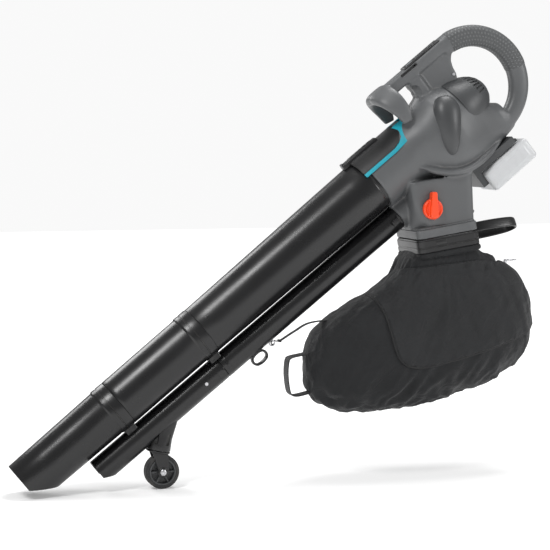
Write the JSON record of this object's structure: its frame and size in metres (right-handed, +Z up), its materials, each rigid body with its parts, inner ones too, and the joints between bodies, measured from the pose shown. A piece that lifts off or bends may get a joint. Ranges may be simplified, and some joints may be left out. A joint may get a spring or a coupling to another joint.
{
  "type": "leaf vacuum mulcher",
  "caption": "Hand-held battery leaf vacuum and blower with a suction tube, blow tube, castor wheel, loop handle, mode knob and collecting bag.",
  "frame": {"origin": "centre of the object's footprint, on the ground under the castor wheel's lowest point", "axes": "+X from the nozzle to the loop handle, +Y to the machine's right, +Z up, in the working posture"},
  "size_m": [1.05, 0.2148, 0.8757],
  "materials": {
    "accent": "satin turquoise plastic",
    "battery": "pale translucent grey-white plastic",
    "board": "green circuit board",
    "brass": "sprung contacts",
    "cells": "plain metal cells",
    "cloth": "black woven polyester, slightly shiny",
    "dark": "satin near-black plastic",
    "grip": "soft rubber with a dotted grip pattern",
    "housing": "fine-grained satin grey plastic",
    "knob": "satin orange-red plastic",
    "lens": "clear window",
    "motor": "dull metal can",
    "steel": "plated steel",
    "tube": "smooth black moulded tube, semi-gloss",
    "tyre": "solid rubber tyre",
    "web": "black webbing"
  },
  "bodies": {
    "machine": {"suction_nozzle": "tube", "suction_middle_tube": "tube", "suction_upper_tube": "tube", "blow_nozzle": "tube", "blow_tube": "tube", "front_tube_saddle": "tube", "rear_tube_saddle": "tube", "strap_eyelet": "tube", "strap_hook_ring": "tube", "castor_stem": "tube", "castor_pivot": "steel", "left_housing": "housing", "right_housing": "housing", "screws": "steel", "front_hoop": "housing", "top_panel": "dark", "tube_lock_rail": "dark", "left_trim": "accent", "right_trim": "accent", "left_side_cover": "dark", "right_side_cover": "dark", "grip_cover": "grip", "control_panel": "dark", "charge_window": "lens", "control_board": "board", "motor_mount": "dark", "motor": "motor", "motor_bearings": "steel", "motor_cap": "dark", "battery_dock": "dark", "dock_terminals": "brass", "selector_bushes": "dark", "strap_hook": "dark"},
    "rotor": {"impeller": "dark", "shredder_blade": "steel", "impeller_nut": "steel", "motor_shaft": "steel"},
    "selector": {"selector_shaft": "steel", "diverter_flap": "dark", "mode_knob": "knob"},
    "power_key": {"power_key": "dark"},
    "speed_rocker": {"speed_rocker": "dark"},
    "battery": {"battery_case": "battery", "battery_cells": "cells"},
    "battery_key": {"battery_release_key": "battery"},
    "castor": {"castor_fork": "tube", "castor_axle": "steel"},
    "castor_wheel": {"castor_wheel": "dark", "castor_tyre": "tyre"},
    "bag_assembly": {"bag_frame": "dark", "port_seal": "grip", "frame_handle": "dark", "latch_pin": "steel", "bag": "cloth", "bag_flap": "cloth", "bag_end_handle": "web", "front_strap": "web"},
    "latch_lever": {"bag_latch_lever": "dark"},
    "zip_puller": {"zip_puller": "steel"},
    "tube_catch": {"tube_catch": "tube"}
  },
  "joints": [
    {"name": "impeller_spin", "type": "hinge", "parent": "machine", "child": "rotor", "pos_m": [0.26822, 0, 0.64118], "axis": [0.7771, 0, 0.6293], "continuous": true},
    {"name": "mode_select", "type": "hinge", "parent": "machine", "child": "selector", "pos_m": [0.28112, 0, 0.52038], "axis": [0, 1, 0], "range_deg": [0, 90]},
    {"name": "power_press", "type": "slide", "parent": "machine", "child": "power_key", "axis": [0.6293, 0, -0.7771], "range_m": [0, 0.002], "stiffness_N_per_m": 900, "springref_m": -0.001},
    {"name": "speed_tilt", "type": "hinge", "parent": "machine", "child": "speed_rocker", "pos_m": [0.27626, 0, 0.8124], "axis": [0, 1, 0], "range_deg": [-6, 6], "stiffness_Nm_per_rad": 0.08},
    {"name": "battery_slide", "type": "slide", "parent": "machine", "child": "battery", "axis": [0.7771, 0, 0.6293], "range_m": [0, 0.115]},
    {"name": "battery_key_press", "type": "slide", "parent": "battery", "child": "battery_key", "axis": [0.6293, 0, -0.7771], "range_m": [0, 0.0015], "stiffness_N_per_m": 900, "springref_m": -0.001},
    {"name": "castor_swivel", "type": "hinge", "parent": "machine", "child": "castor", "pos_m": [-0.24429, 0, 0.0729], "axis": [0.1994, 0, 0.9799], "continuous": true},
    {"name": "wheel_spin", "type": "hinge", "parent": "castor", "child": "castor_wheel", "pos_m": [-0.23833, 0, 0.032], "axis": [0, 1, 0], "continuous": true},
    {"name": "bag_unclip", "type": "slide", "parent": "machine", "child": "bag_assembly", "axis": [0.1564, 0, -0.9877], "range_m": [0, 0.06], "deforming": ["front_strap"]},
    {"name": "latch_release", "type": "hinge", "parent": "bag_assembly", "child": "latch_lever", "pos_m": [0.38535, 0, 0.47401], "axis": [0, 1, 0], "range_deg": [0, 22], "stiffness_Nm_per_rad": 0.15, "springref_deg": -17.19},
    {"name": "puller_lift", "type": "hinge", "parent": "bag_assembly", "child": "zip_puller", "pos_m": [0.46046, 0, 0.41496], "axis": [0, 1, 0], "range_deg": [-100, 0]},
    {"name": "tube_catch_flex", "type": "hinge", "parent": "machine", "child": "tube_catch", "pos_m": [0.22617, -0.0291, 0.50084], "axis": [-0.6293, 0, 0.7771], "range_deg": [0, 12], "stiffness_Nm_per_rad": 0.1, "springref_deg": -5.73}
  ]
}
